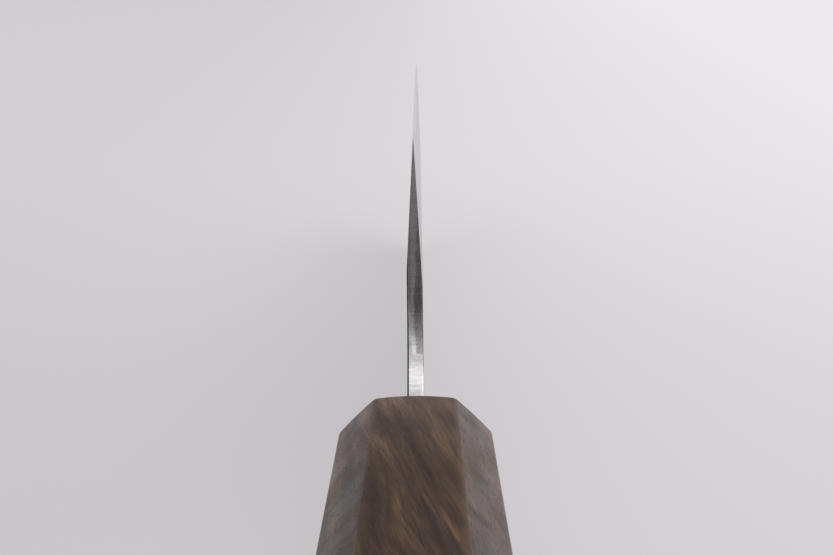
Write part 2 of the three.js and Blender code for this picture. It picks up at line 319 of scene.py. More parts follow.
class Graph:
    """Adds nodes to one node tree, and sets or links their inputs."""

    def __init__(self, tree):
        self.tree = tree

    def add(self, kind, inputs=None, **settings):
        node = self.tree.nodes.new(kind)
        for name, value in settings.items():
            setattr(node, name, value)
        for key, value in (inputs or {}).items():
            self.feed(node.inputs[key], value)
        return node

    def feed(self, socket, value):
        if isinstance(value, bpy.types.NodeSocket):
            self.tree.links.new(value, socket)
        else:
            socket.default_value = value

    def attribute(self, name):
        return self.add("ShaderNodeAttribute", attribute_name=name).outputs["Fac"]

    def math(self, operation, *values):
        return self.add("ShaderNodeMath", dict(enumerate(values)), operation=operation).outputs[0]

    def times(self, value, *factors):
        for factor in factors:
            value = self.math("MULTIPLY", value, factor)
        return value

    def times_plus(self, value, factor, more):
        return self.math("MULTIPLY_ADD", value, factor, more)

    def largest(self, value, *others):
        for other in others:
            value = self.math("MAXIMUM", value, other)
        return value

    def minus(self, value, less):
        return self.math("SUBTRACT", value, less)

    def vector(self, operation, *values):
        node = self.add("ShaderNodeVectorMath", dict(enumerate(values)), operation=operation)
        return node.outputs["Value" if operation in ("DOT_PRODUCT", "LENGTH") else "Vector"]

    def stretch(self, vector, factors):
        return self.vector("MULTIPLY", vector, factors)

    def split(self, vector):
        return self.add("ShaderNodeSeparateXYZ", {"Vector": vector}).outputs

    def join(self, x, y, z):
        return self.add("ShaderNodeCombineXYZ", {"X": x, "Y": y, "Z": z}).outputs[0]

    def noise(self, vector, scale=1.0, detail=2.0, roughness=0.5, output="Fac"):
        inputs = {"Vector": vector, "Scale": scale, "Detail": detail, "Roughness": roughness}
        return self.add("ShaderNodeTexNoise", inputs).outputs[output]

    def remap(self, value, low, high, to_low=0.0, to_high=1.0, smooth=True):
        """A value carried from one span to another, and held inside it."""
        inputs = {"Value": value, "From Min": low, "From Max": high, "To Min": to_low, "To Max": to_high}
        kind = "SMOOTHSTEP" if smooth else "LINEAR"
        return self.add("ShaderNodeMapRange", inputs, interpolation_type=kind).outputs["Result"]

    def mix(self, factor, first, second, blend="MIX"):
        """A colour between two colours, or the first one blended with the second one."""
        inputs = {0: factor, 6: first, 7: second}
        return self.add("ShaderNodeMix", inputs, data_type="RGBA", blend_type=blend).outputs[2]

    def tint(self, colour, factor):
        return self.mix(1.0, colour, factor, "MULTIPLY")

    def blend(self, factor, first, second):
        """A number between two numbers."""
        return self.add("ShaderNodeMix", {0: factor, 2: first, 3: second}, data_type="FLOAT").outputs[0]

    def ramp(self, factor, stops):
        node = self.add("ShaderNodeValToRGB", {"Fac": factor})
        elements = node.color_ramp.elements
        while len(elements) < len(stops):
            elements.new(1.0)
        for element, (position, colour) in zip(elements, stops):
            element.position = position
            element.color = colour
        return node.outputs["Color"]

    def surface(self, shader, colour, roughness, normal):
        for name, value in {"Base Color": colour, "Roughness": roughness, "Normal": normal}.items():
            self.feed(shader.inputs[name], value)

    def bump(self, height, strength, depth):
        inputs = {"Height": height, "Strength": strength, "Distance": depth}
        return self.add("ShaderNodeBump", inputs).outputs["Normal"]


def rgba(colour):
    return (*colour, 1.0)


def toned(colour, factor):
    return rgba([part * factor for part in colour])


def new_group(name, inputs, outputs):
    """A node group: its graph, what it is given and what it puts out."""
    tree = bpy.data.node_groups.new(name, "ShaderNodeTree")
    for label, kind in inputs.items():
        tree.interface.new_socket(label, in_out="INPUT", socket_type="NodeSocket" + kind)
    for label, kind in outputs.items():
        tree.interface.new_socket(label, in_out="OUTPUT", socket_type="NodeSocket" + kind)
    graph = Graph(tree)
    return graph, graph.add("NodeGroupInput").outputs, graph.add("NodeGroupOutput").inputs


def place_group(graph, name, inputs):
    """Places a node group in a material with its own values."""
    return graph.add("ShaderNodeGroup", inputs, node_tree=bpy.data.node_groups[name]).outputs


def new_material(name):
    """A material, its graph, its Principled shader and the place in the knife's millimetres."""
    material = bpy.data.materials.new(name)
    material.use_nodes = True
    graph = Graph(material.node_tree)
    shader = material.node_tree.nodes["Principled BSDF"]
    place = graph.add("ShaderNodeTexCoord").outputs["Object"]
    axes = {"Location": KNIFE.translation, "Rotation": KNIFE.to_euler(), "Scale": (MM, MM, MM)}
    turned = graph.add("ShaderNodeMapping", {"Vector": place, **axes}, vector_type="TEXTURE")
    return material, graph, shader, turned.outputs["Vector"]


# Effects that several materials share

NOISE_SPAN = (0.3, 0.7)  # values between which most of a noise lies
NOISE_MIDDLE = 0.5
MARK_SPAN = (0.25, 0.75)  # values of dark and bright marks
FINE_MARKS = 0.45  # share of the finest marks
RIM_MARKS = (0.75, 1.5)  # share of the pitch, length in millimetres
RIM_TONES = (0.7, 1.2)  # shades of dark and bright marks

# The choil's darkening, mostly painted shade: places in millimetres in the knife's own axes, strengths as
# shares.
# Four numbers are a span and the values at its ends.
DARKENING_TONE = (0.29, 0.295, 0.30, 1.0)
CHOIL_REACH = 40.0  # rims nearer to the handle are the choil
SPECKLE_STRETCH = (1.0, 1.6, 0.8)
RAGGED_UP = 3.6  # how far the stain's edges wander up and down
RAGGED_ACROSS = 1.2
HEEL_RISE = (15.0, 25.0)
HEEL_SHADE = 0.5
HEEL_TAPER = (18.0, 40.0, 0.95, 0.1)  # half of the choil's thickness
CORNER_SPAN = (0.2, 0.9)  # shares of that half over which the left corner darkens
CORNER_RISE = (15.0, 20.0)
CORNER_SHADE = 0.72
PATCH_WIDENS = (11.5, 14.0, 0.08, 0.3)  # how far the patch reaches to the left
PATCH_NARROWS = (18.0, 30.0, 0.0, -0.45)
PATCH_EDGE = (0.0, 0.35)
PATCH_FOOT = (10.9, 11.6)
PATCH_SPECKLE = (0.3, 0.65, 0.75, 1.0)
PATCH_DARKNESS = (11.7, 13.3, 0.88, 0.72)
PATCH_DARKENS = (14.5, 17.5, 0.72, 0.9)
NECK_SHADE = (7.4, 8.7, 0.14, 0.0)
LEFT_DARK_FOOT = (9.7, 10.5)
LEFT_DARK_TOP = (11.1, 11.6, 0.38, 0.0)
LEFT_DARK_CLIMB = (0.2, 0.6, 0.0, 1.7)  # rise of the left band's top towards the left corner


def make_grinding_marks():
    """Fine parallel marks along X, broken up along their length, as a value round one half."""
    inputs = {"Vector": "Vector", "Pitch": "Float", "Length": "Float"}
    graph, given, result = new_group("Grinding marks", inputs, {"Marks": "Float"})
    x, y, z = graph.split(given["Vector"])
    along = graph.math("DIVIDE", x, given["Length"])
    across = [graph.times(part, given["Pitch"]) for part in (y, z)]
    lined = graph.join(along, *across)
    coarse = graph.noise(lined, detail=3.0, roughness=0.65)
    fine = graph.noise(lined, scale=4.1, detail=2.0, roughness=0.6)
    graph.feed(result["Marks"], graph.blend(FINE_MARKS, coarse, fine))


def make_handling_haze():
    """Broad, soft patches where a surface was touched, wiped or stoned unevenly, from 0 to 1."""
    inputs = {"Vector": "Vector", "Scale": "Float"}
    graph, given, result = new_group("Handling haze", inputs, {"Haze": "Float"})
    patches = graph.noise(given["Vector"], given["Scale"], detail=3.0, roughness=0.6)
    graph.feed(result["Haze"], graph.remap(patches, *NOISE_SPAN))


def make_ground_rim_and_shade():
    """Finish of the choil and the spine: marks across them, and the choil's darkening, mostly painted shade.

    The choil darkens towards the heel and at its left corner, painted shade of the dark surroundings it
    reflects. A dark ragged patch on the right and a darker band on the left leave a bright lens between
    them, a painted highlight, above a bright neck whose foot by the handle is darkened as painted shade.
    """
    inputs = {"Vector": "Vector", "Marks": "Float", "Colour": "Color"}
    graph, given, result = new_group("Ground rim and painted shade", inputs, {"Colour": "Color"})
    x, y, z = graph.split(given["Vector"])
    speckled = graph.stretch(given["Vector"], SPECKLE_STRETCH)
    speckle = graph.noise(speckled, scale=2.6, detail=5.0, roughness=0.7)
    drift = graph.noise(given["Vector"], scale=0.4)
    ragged = graph.minus(graph.blend(0.5, speckle, drift), NOISE_MIDDLE)
    height = graph.times_plus(ragged, RAGGED_UP, z)

    # Painted shade: the choil darkens towards the heel and at its left corner, where it reflects dark
    # surroundings
    heel_shade = graph.remap(z, *HEEL_RISE, 0.0, HEEL_SHADE)
    half = graph.remap(z, *HEEL_TAPER, smooth=False)
    corner = graph.remap(graph.math("DIVIDE", y, half), *CORNER_SPAN, 0.0, CORNER_SHADE)
    corner = graph.times(corner, graph.remap(z, *CORNER_RISE))

    # A dark ragged patch on the right; its edges and the band on the left leave a bright lens between them,
    # a painted highlight
    narrows = graph.remap(z, *PATCH_NARROWS, smooth=False)
    reach = graph.math("ADD", graph.remap(z, *PATCH_WIDENS), narrows)
    inside = graph.minus(reach, graph.times_plus(ragged, RAGGED_ACROSS, y))
    strength = graph.largest(graph.remap(z, *PATCH_DARKNESS), graph.remap(z, *PATCH_DARKENS))
    patch = graph.times(graph.remap(inside, *PATCH_EDGE), graph.remap(height, *PATCH_FOOT))
    patch = graph.times(patch, graph.remap(speckle, *PATCH_SPECKLE), strength)

    # A darker band on the left, below the painted highlight
    lowered = graph.minus(height, graph.remap(y, *LEFT_DARK_CLIMB))
    left_darkening = graph.times(graph.remap(height, *LEFT_DARK_FOOT), graph.remap(lowered, *LEFT_DARK_TOP))

    # Painted shade at the neck's foot beside the handle joins the rest of the darkening
    choil_darkening = graph.largest(graph.remap(z, *NECK_SHADE), heel_shade, corner, patch, left_darkening)
    choil_darkening = graph.times(choil_darkening, graph.math("LESS_THAN", x, CHOIL_REACH))
    marked = graph.tint(given["Colour"], graph.remap(given["Marks"], *MARK_SPAN, *RIM_TONES))
    graph.feed(result["Colour"], graph.mix(choil_darkening, marked, DARKENING_TONE, "MULTIPLY"))


def grinding_marks(graph, vector, settings, marks):
    """Places grinding marks: a share of the settings' pitch, and a length in millimetres."""
    pitch, length = marks
    inputs = {"Vector": vector, "Pitch": settings.mark_pitch * pitch, "Length": length}
    return place_group(graph, "Grinding marks", inputs)["Marks"]


def handling_haze(graph, place, scale):
    """Places handling haze, with its patches per millimetre."""
    return place_group(graph, "Handling haze", {"Vector": place, "Scale": scale})["Haze"]


def ground_rim_and_shade(graph, place, settings):
    """Marks across a rim, and the colour that they and the choil's darkening give it, painted shade and
    highlight included.
    """
    x, y, z = graph.split(place)
    marks = grinding_marks(graph, graph.join(y, z, x), settings, RIM_MARKS)
    inputs = {"Vector": place, "Marks": marks, "Colour": rgba(settings.rim_colour)}
    return marks, place_group(graph, "Ground rim and painted shade", inputs)["Colour"]


# Steel

CORE_MARKS = (2.5, 6.0)  # share of the pitch, length in millimetres
BEVEL_MARKS = (1.2, 5.0)
CORE_TONES = (0.86, 1.06)
BEVEL_TONES = (0.82, 1.09)
CORE_HAZE = 0.12
BEVEL_HAZE = 0.09
RIM_ROUGHNESS = 0.37
CORE_ROUGHNESS = 0.15
BEVEL_ROUGHNESS = 0.16
CORE_HAZED = 0.05  # roughness that the haze adds
BEVEL_HAZED = 0.06
SCRATCH_DEPTH = 0.004  # millimetres
CLOUD_DRIFT = (-0.02, 0.02)  # of the cloud along the weld, in millimetres
CLOUD_DEPTH = 0.07
CLOUD_SHADE = 0.86
CLOUD_ROUGHNESS = 0.08
WELD_SHADE = (0.0, 0.035, 0.72, 1.0)  # millimetres of steel over the weld, and the bevel's shades there

# Where the scale ends, as a depth under the plane of the flat in millimetres
FLAT_LIMIT = 0.02
FLAT_RAGGED = 0.005
RIM_RAGGED = 0.03
SCALE_FADE = (-0.006, 0.006, 1.0, 0.0)
# Heights on the choil's corners, and the shares of the scale's depth there
CHOIL_WRAP = {"left": (9.0, 13.0, 0.5, 1.0), "right": (9.0, 12.0, 0.2, 0.1)}
CORNER_ROUND = 0.25  # rolled width of the choil's corners in millimetres
CORNER_ROLL = {"left": 0.125, "right": 0.0125}  # how far each corner rolls over, in millimetres

SCALE_LIGHTER = (2.4, 0.004)  # times and plus, for its lighter colour
SKIN_STRETCH = (0.6, 1.0, 1.0)
SKIN_SPAN = (0.3, 0.72)
FLAKE_STRETCH = (0.5, 1.0, 1.0)
FLAKE_SPAN = (0.45, 0.55)
FLAKE_TONES = (0.84, 1.16)
PIT_SPAN = (0.64, 0.71)
PIT_SHADE = 0.4
GRIT_IN_WEAR = 0.5
RUBBED_SPAN = (0.9, 1.03, 0.0, 0.55)
RUBBED_SHADE = 0.45
RUBBED_METAL = 0.8
GRIT_ROUGHNESS = (0.36, 0.52)
FLAKE_ROUGHNESS = 0.1
CRUST_HEIGHTS = (0.03, 0.01, -0.03, 0.012)  # of skin, grit, pits and flakes, in millimetres


def core_material(settings):
    """Hard steel: bright and finely scratched, cloudy where it meets the weld."""
    material, graph, shader, place = new_material("Core steel")
    rim = graph.attribute("rim")
    # The rims' colour carries the choil's painted shade and painted highlight
    rim_marks, rim_colour = ground_rim_and_shade(graph, place, settings)
    marks = grinding_marks(graph, place, settings, CORE_MARKS)
    haze = handling_haze(graph, place, CORE_HAZE)
    cloud_edge = graph.math("ADD", graph.attribute("weld_gap"), graph.remap(haze, 0, 1, *CLOUD_DRIFT))
    cloud = graph.remap(cloud_edge, 0.0, CLOUD_DEPTH, 1.0, 0.0)
    cloud = graph.times(cloud, graph.minus(1.0, rim))
    edge = graph.mix(cloud, rgba(settings.core_colour), toned(settings.core_colour, CLOUD_SHADE))
    edge = graph.tint(edge, graph.remap(marks, *MARK_SPAN, *CORE_TONES))
    roughness = graph.blend(rim, CORE_ROUGHNESS, RIM_ROUGHNESS)
    roughness = graph.times_plus(cloud, CLOUD_ROUGHNESS, roughness)
    roughness = graph.times_plus(haze, CORE_HAZED, roughness)
    normal = graph.bump(graph.times(rim_marks, rim), 1.0, SCRATCH_DEPTH * MM)
    graph.surface(shader, graph.mix(rim, edge, rim_colour), roughness, normal)
    shader.inputs["Metallic"].default_value = 1.0
    return material


def flat_depth(graph):
    """Depth under the plane of the blade's flat, in millimetres, on either side."""
    flat = MOUNTS["blade_flat_left"]
    x, y, z = graph.split(graph.add("ShaderNodeTexCoord").outputs["Object"])
    folded = graph.join(x, graph.math("ABSOLUTE", y), z)
    from_flat = graph.vector("SUBTRACT", folded, flat["pos_m"])
    return graph.math("DIVIDE", graph.vector("DOT_PRODUCT", from_flat, flat["axis"]), -MM)


def scale_cover(graph, place, rim, on_left, depth, settings):
    """Where the scale was not ground away: on the flats, and a little way over the choil's corners."""
    height = graph.split(place)["Z"]
    ragged = graph.noise(place, scale=1.1, detail=4.0, roughness=0.6)
    ragged = graph.remap(ragged, *NOISE_SPAN, -1.0, 1.0)
    edge = graph.times_plus(ragged, graph.blend(rim, FLAT_RAGGED, RIM_RAGGED), depth)
    wrap = graph.blend(on_left, *(graph.remap(height, *CHOIL_WRAP[side]) for side in ("right", "left")))
    wrapped = graph.times(wrap, settings.scale_depth / MM)
    limit = graph.blend(rim, FLAT_LIMIT, wrapped)
    return graph.remap(graph.minus(edge, limit), *SCALE_FADE)


def forge_scale(graph, place, settings):
    """Scale with crisp flakes, fine grit, pits and spots rubbed through to the steel.

    Gives its colour, its roughness, where it is rubbed, and its height in millimetres.
    """
    skin = graph.noise(graph.stretch(place, SKIN_STRETCH), scale=1.1, detail=7.0, roughness=0.7)
    flakes = graph.noise(graph.stretch(place, FLAKE_STRETCH), scale=0.45, detail=9.0, roughness=0.66)
    flakes = graph.remap(flakes, *FLAKE_SPAN)
    grit = graph.noise(place, scale=8.0, detail=3.0, roughness=0.6)
    pits = graph.remap(graph.noise(place, scale=2.3, detail=3.0, roughness=0.6), *PIT_SPAN)

    factor, addition = SCALE_LIGHTER
    lighter = rgba([part * factor + addition for part in settings.scale_colour])
    colour = graph.mix(graph.remap(skin, *SKIN_SPAN), rgba(settings.scale_colour), lighter)
    colour = graph.tint(colour, graph.blend(flakes, *FLAKE_TONES))
    rubbed = graph.remap(graph.times_plus(grit, GRIT_IN_WEAR, skin), *RUBBED_SPAN)
    colour = graph.mix(rubbed, colour, toned(settings.bevel_colour, RUBBED_SHADE))
    colour = graph.mix(pits, colour, toned(settings.scale_colour, PIT_SHADE))

    roughness = graph.remap(grit, *NOISE_SPAN, *GRIT_ROUGHNESS)
    roughness = graph.times_plus(flakes, FLAKE_ROUGHNESS, roughness)
    crust = 0.0
    for part, height in zip((skin, grit, pits, flakes), CRUST_HEIGHTS):
        crust = graph.times_plus(part, height, crust)
    return colour, roughness, rubbed, crust


def cladding_material(settings):
    """Soft steel: dark forge scale on the flats, hazy ground bevels, ground rims."""
    material, graph, shader, place = new_material("Cladding steel")
    rim = graph.attribute("rim")
    # The rims' colour carries the choil's painted shade and painted highlight
    rim_marks, rim_colour = ground_rim_and_shade(graph, place, settings)
    x, y, z = graph.split(place)
    on_left = graph.math("GREATER_THAN", y, 0.0)
    depth = flat_depth(graph)
    cover = scale_cover(graph, place, rim, on_left, depth, settings)
    scale_colour, scale_roughness, rubbed, crust = forge_scale(graph, place, settings)

    # Ground bevel, darker where it thins out over the weld
    marks = grinding_marks(graph, graph.join(z, x, y), settings, BEVEL_MARKS)
    bevel = graph.tint(rgba(settings.bevel_colour), graph.remap(graph.attribute("weld_gap"), *WELD_SHADE))
    bevel = graph.tint(bevel, graph.remap(marks, *MARK_SPAN, *BEVEL_TONES))
    roughness = graph.blend(rim, BEVEL_ROUGHNESS, RIM_ROUGHNESS)
    haze = handling_haze(graph, place, BEVEL_HAZE)
    roughness = graph.times_plus(haze, BEVEL_HAZED, roughness)

    # Rolled corners and scratches of the rims, in millimetres
    roll = graph.blend(on_left, CORNER_ROLL["right"], CORNER_ROLL["left"])
    rolled = graph.times(graph.remap(depth, 0.0, CORNER_ROUND), roll)
    rim_height = graph.times(rim, graph.times_plus(rim_marks, SCRATCH_DEPTH, rolled))

    colour = graph.mix(cover, graph.mix(rim, bevel, rim_colour), scale_colour)
    roughness = graph.blend(cover, roughness, scale_roughness)
    normal = graph.bump(graph.blend(cover, rim_height, crust), 1.0, MM)
    graph.surface(shader, colour, roughness, normal)
    graph.feed(shader.inputs["Metallic"], graph.blend(cover, 1.0, graph.times(rubbed, RUBBED_METAL)))
    return material


# Wood

GRAIN_START = (48.0, 0.0, 0.0)  # where in its plank the handle was cut
GRAIN_TILT = math.radians(1.5)
HEART = (0.0, 40.0, -28.0)  # the middle of the growth layers, beside the handle
WAVER_REACH = (0.0, 7.0, 7.0)  # how far the growth layers wander

# Features per millimetre along and across the grain
WAVER = (0.02, 0.06, 0.06)
FIGURE = (0.014, 0.24, 0.24)
FLECKS = (0.07, 0.4, 0.4)
VEINS = (0.008, 0.9, 0.9)
FIBRES = (0.14, 8.0, 8.0)
PORES = (0.28, 7.5, 7.5)
RINGS = 0.34  # growth rings per millimetre from the heart
LINES = 1.5

FIGURE_SHARE = 0.45
FLECK_SHARE = 0.45
TONE_SPAN = (0.34, 0.66)
BROWN_SHARE = 0.55  # brown in the half-dark wood
TONE_STOPS = (0.0, 0.3, 0.58, 0.92)  # dark, half-dark, brown and light wood
LINE_TONES = (0.8, 1.17)
VEIN_SPAN = (0.54, 0.66, 0.0, 0.6)
FRONT_SHEEN = (-24.0, 0.0, 0.0, 0.62)  # painted sheen: where the wood is paler towards the front, and how much
FRONT_SHEEN_TONES = (0.5, 1.5)
FIBRE_TONES = (0.72, 1.26)
FIBRE_HEIGHT = 0.3  # over the depth of a pore
PORE_SPAN = (0.62, 0.72)
PORE_STAIN = 0.5
PORE_SHADE = 0.5
PORE_DEPTH = 0.04 * MM
PORE_BUMP = 0.35
PORE_ROUGHNESS = 0.2
WOOD_HAZE = 0.15
EDGE_SPAN = (-0.55, -0.05)  # millimetres from a long edge over which it is lighter
EDGE_LIGHTENING = (0.05, 0.3)
EDGE_SHADE = 1.15
WOOD_ROUGHNESS = (0.3, 0.4)
WOOD_GLOSS = 0.35


def growth_figure(graph, layered, settings):
    """Colour of the growth layers round the heart, and their tone from dark to light."""
    from_heart = graph.stretch(graph.vector("SUBTRACT", layered, HEART), (0.0, 1.0, 1.0))
    radius = graph.vector("LENGTH", from_heart)
    rings, lines = (
        graph.add(
            "ShaderNodeTexNoise", {"W": radius, "Scale": scale, "Detail": 3.0, "Roughness": 0.55},
            noise_dimensions="1D",
        ).outputs["Fac"]
        for scale in (RINGS, LINES)
    )
    figure, flecks = (graph.noise(graph.stretch(layered, size), detail=3.0) for size in (FIGURE, FLECKS))
    tone = graph.blend(FLECK_SHARE, graph.blend(FIGURE_SHARE, rings, figure), flecks)
    tone = graph.remap(tone, *TONE_SPAN)
    dark, brown, light = settings.dark_wood, settings.middle_wood, settings.light_wood
    half_dark = [BROWN_SHARE * b + (1 - BROWN_SHARE) * d for b, d in zip(brown, dark)]
    colours = [rgba(colour) for colour in (dark, half_dark, brown, light)]
    colour = graph.ramp(tone, list(zip(TONE_STOPS, colours)))
    colour = graph.tint(colour, graph.remap(lines, *NOISE_SPAN, *LINE_TONES))
    veins = graph.noise(graph.stretch(layered, VEINS))
    return graph.mix(graph.remap(veins, *VEIN_SPAN), colour, rgba(dark)), tone


def edge_nearness(graph, place, settings):
    """About 0 on a long edge of the octagon, and 1 less for each millimetre away from it."""
    x, y, z = graph.split(place)
    along = graph.math("DIVIDE", x, -HANDLE_LENGTH / MM)
    swell = graph.times_plus(along, settings.taper - 1.0, 1.0)
    across, upward = (graph.math("DIVIDE", graph.math("ABSOLUTE", part), swell) for part in (y, z))
    half_width = settings.front_width / 2 / MM
    half_height = settings.front_height / 2 / MM
    corner_reach = half_width + half_height - settings.corner_cut / MM
    side = graph.minus(across, half_width)
    top = graph.minus(upward, half_height)
    corner = graph.minus(graph.math("ADD", across, upward), corner_reach)
    corner = graph.times(corner, math.sqrt(0.5))
    return graph.largest(*(graph.math("MINIMUM", part, corner) for part in (side, top)))


def wood_material(settings):
    """Oiled dark wood: streaks and flecks along a skewed grain, fine fibres, open pores, lighter long edges,
    and a front painted paler as its sheen.
    """
    material, graph, shader, place = new_material("Oiled wood")
    turn = (0.0, GRAIN_TILT, -settings.grain_skew)
    inputs = {"Vector": place, "Location": GRAIN_START, "Rotation": turn}
    grain = graph.add("ShaderNodeMapping", inputs).outputs["Vector"]
    waver = graph.noise(graph.stretch(grain, WAVER), output="Color")
    waver = graph.stretch(graph.vector("SUBTRACT", waver, (NOISE_MIDDLE,) * 3), WAVER_REACH)
    colour, tone = growth_figure(graph, graph.vector("ADD", grain, waver), settings)

    # Painted sheen: paler wood towards the front, standing in for its grazing reflection
    front_sheen = graph.remap(graph.split(place)["X"], *FRONT_SHEEN)
    pale = graph.tint(rgba(settings.front_sheen_wood), graph.remap(tone, 0, 1, *FRONT_SHEEN_TONES))
    colour = graph.mix(front_sheen, colour, pale)
    fibres = graph.noise(graph.stretch(grain, FIBRES))
    colour = graph.tint(colour, graph.remap(fibres, *NOISE_SPAN, *FIBRE_TONES))
    pores = graph.remap(graph.noise(graph.stretch(grain, PORES), detail=1.0), *PORE_SPAN)
    pore_colour = toned(settings.dark_wood, PORE_SHADE)
    colour = graph.mix(graph.times(pores, PORE_STAIN), colour, pore_colour)

    haze = handling_haze(graph, place, WOOD_HAZE)
    # The wood turns lighter along the long edges
    lighter_edges = graph.remap(edge_nearness(graph, place, settings), *EDGE_SPAN)
    lighter_edges = graph.times(lighter_edges, graph.remap(haze, 0, 1, *EDGE_LIGHTENING))
    colour = graph.mix(lighter_edges, colour, toned(settings.light_wood, EDGE_SHADE))

    roughness = graph.times_plus(pores, PORE_ROUGHNESS, graph.remap(haze, 0, 1, *WOOD_ROUGHNESS))
    height = graph.minus(graph.times(fibres, FIBRE_HEIGHT), pores)
    graph.surface(shader, colour, roughness, graph.bump(height, PORE_BUMP, PORE_DEPTH))
    shader.inputs["Specular IOR Level"].default_value = WOOD_GLOSS
    return material


# Glue

GLUE_DARK = (0.012, 0.010, 0.008, 1.0)
GLUE_LIGHT = (0.03, 0.024, 0.018, 1.0)
GLUE_HAZE = 0.8
GLUE_ROUGHNESS = (0.22, 0.4)
GLUE_BUMP = 0.2
GLUE_DEPTH = 0.05 * MM


def glue_material():
    """Cured dark resin with a slightly uneven skin."""
    material, graph, shader, place = new_material("Cured glue")
    haze = handling_haze(graph, place, GLUE_HAZE)
    colour = graph.mix(haze, GLUE_DARK, GLUE_LIGHT)
    roughness = graph.remap(haze, 0, 1, *GLUE_ROUGHNESS)
    graph.surface(shader, colour, roughness, graph.bump(haze, GLUE_BUMP, GLUE_DEPTH))
    return material


# Blade

SIDE_FACING = 0.9  # faces whose normals lean less than this across the blade are rims
RIDGE_ANGLE = math.radians(0.5)  # crease between two side faces that stays sharp
RIM_ANGLE = math.radians(28)
WELD_FACING = 0.01  # a weld face's normal leans less than this towards the cutting edge


def keeps_sharp(edge):
    """True for the ridge line, the sharpening bevel and the corners between faces and rims."""
    both_sides = all(abs(face.normal.y) > SIDE_FACING for face in edge.link_faces)
    return edge.calc_face_angle(math.pi) > (RIDGE_ANGLE if both_sides else RIM_ANGLE)


def weld_faces(mesh, is_core):
    """The faces on which this layer is welded to the next one."""
    faces = [face for face in mesh.polygons if abs(face.normal.y) > SIDE_FACING]
    if is_core:
        up = KNIFE.to_3x3() @ Vector((0, 0, 1))
        return [face for face in faces if abs(face.normal.dot(up)) < WELD_FACING]
    outward = max((vertex.co.y for vertex in mesh.vertices), key=abs)
    return [face for face in faces if face.normal.y * outward < 0]


def mark_surfaces(piece, is_core):
    """Stores which faces are rims, and how far each vertex is from the weld in millimetres."""
    mesh = piece.data
    to_knife = KNIFE.inverted()
    rim = mesh.attributes.new("rim", "FLOAT", "FACE")
    rim.data.foreach_set("value", [float(abs(face.normal.y) < SIDE_FACING) for face in mesh.polygons])
    along = [(to_knife @ vertex.co).x for vertex in mesh.vertices]
    across = [abs(vertex.co.y) for vertex in mesh.vertices]
    welded = {index for face in weld_faces(mesh, is_core) for index in face.vertices}
    weld = {along[index]: across[index] for index in welded}
    weld_along, weld_across = zip(*sorted(weld.items()))
    gaps = np.abs(across - np.interp(along, weld_along, weld_across)) / MM
    mesh.attributes.new("weld_gap", "FLOAT", "POINT").data.foreach_set("value", list(gaps))


def dress_layer(node, name, material):
    """Finishes a copy of one layer of the blade."""
    piece = copy_of(node, name)
    mark_surfaces(piece, node == "core_steel")
    shade(piece, keeps_sharp)
    stand_in(piece, node, material)


class KNIFE_OT_core(bpy.types.Operator):
    """Finishes the hard core of the blade"""

    bl_idname = "knife.core"
    bl_label = "Core steel"

    def execute(self, context):
        dress_layer("core_steel", "blade_core", core_material(context.scene.knife_blade))
        return {"FINISHED"}


class KNIFE_OT_claddings(bpy.types.Operator):
    """Finishes the soft claddings on both faces of the blade"""

    bl_idname = "knife.claddings"
    bl_label = "Claddings"

    def execute(self, context):
        material = cladding_material(context.scene.knife_blade)
        for side in ("left", "right"):
            dress_layer(f"cladding_{side}", f"blade_cladding_{side}", material)
        return {"FINISHED"}


# Handle

ARRIS_ANGLE = math.radians(20)  # long edges that turn more than this are arrises
CROWN_CUTS = 6
EASE_SEGMENTS = 4
SLOT_REACH = 5 * MM  # how far the slot's cutter stands out of the front
TANG_TAPER = 0.6  # height of the slot's end over its height behind the shoulder
FACING = 0.99  # cosine within which a face looks the wanted way
LEAST_LIFT = 0.01  # share of a crown's rise below which a row stays where it is
TOUCHING = 0.01 * MM
SLEEVE_MARGIN = 0.1 * MM  # least step from the mouth's height to the tang's
HANDLE_CREASE = math.radians(35)  # creases that stay sharp
GLUE_CREASE = math.radians(40)
LIP_ANGLE = math.radians(60)
LIP_WIDTH = 0.12 * MM
LIP_SEGMENTS = 3


def runs_along(edge):
    """True for an edge that runs along the handle."""
    first, second = (vertex.co for vertex in edge.verts)
    return abs(first.x - second.x) > HANDLE_LENGTH / 2


def is_arris(edge):
    return runs_along(edge) and edge.calc_face_angle() > ARRIS_ANGLE


def is_rim(edge):
    return any(abs(face.normal.x) > FACING for face in edge.link_faces)


def crown_facet(handle, settings, facing, rise):
    """Cuts the facet that faces a way into strips and lifts them to a shallow crown."""
    outward = Vector((0, *facing)).normalized()

    def in_facet(face):
        return face.normal.dot(outward) > FACING

    def across_facet(edge):
        return not runs_along(edge) and any(in_facet(face) for face in edge.link_faces)

    edit_selection(handle, "EDGE", across_facet)
    bpy.ops.mesh.subdivide(number_cuts=CROWN_CUTS)
    leave_edit()
    strips = [face for face in handle.data.polygons if in_facet(face)]
    sideways = outward.cross(Vector((1, 0, 0)))
    rows = {}
    for index in {index for face in strips for index in face.vertices}:
        place = handle.data.vertices[index].co
        swell = 1 + (settings.taper - 1) * -place.x / HANDLE_LENGTH
        rows.setdefault(round(place.dot(sideways) / swell, 6), set()).add(index)
    centre = (max(rows) + min(rows)) / 2
    half = (max(rows) - min(rows)) / 2
    for row, indices in rows.items():
        lift = rise * (1 - ((row - centre) / half) ** 2)
        if lift > rise * LEAST_LIFT:
            edit_selection(handle, "VERT", lambda vertex: vertex.index in indices)
            bpy.ops.transform.translate(value=outward * lift)
            leave_edit()


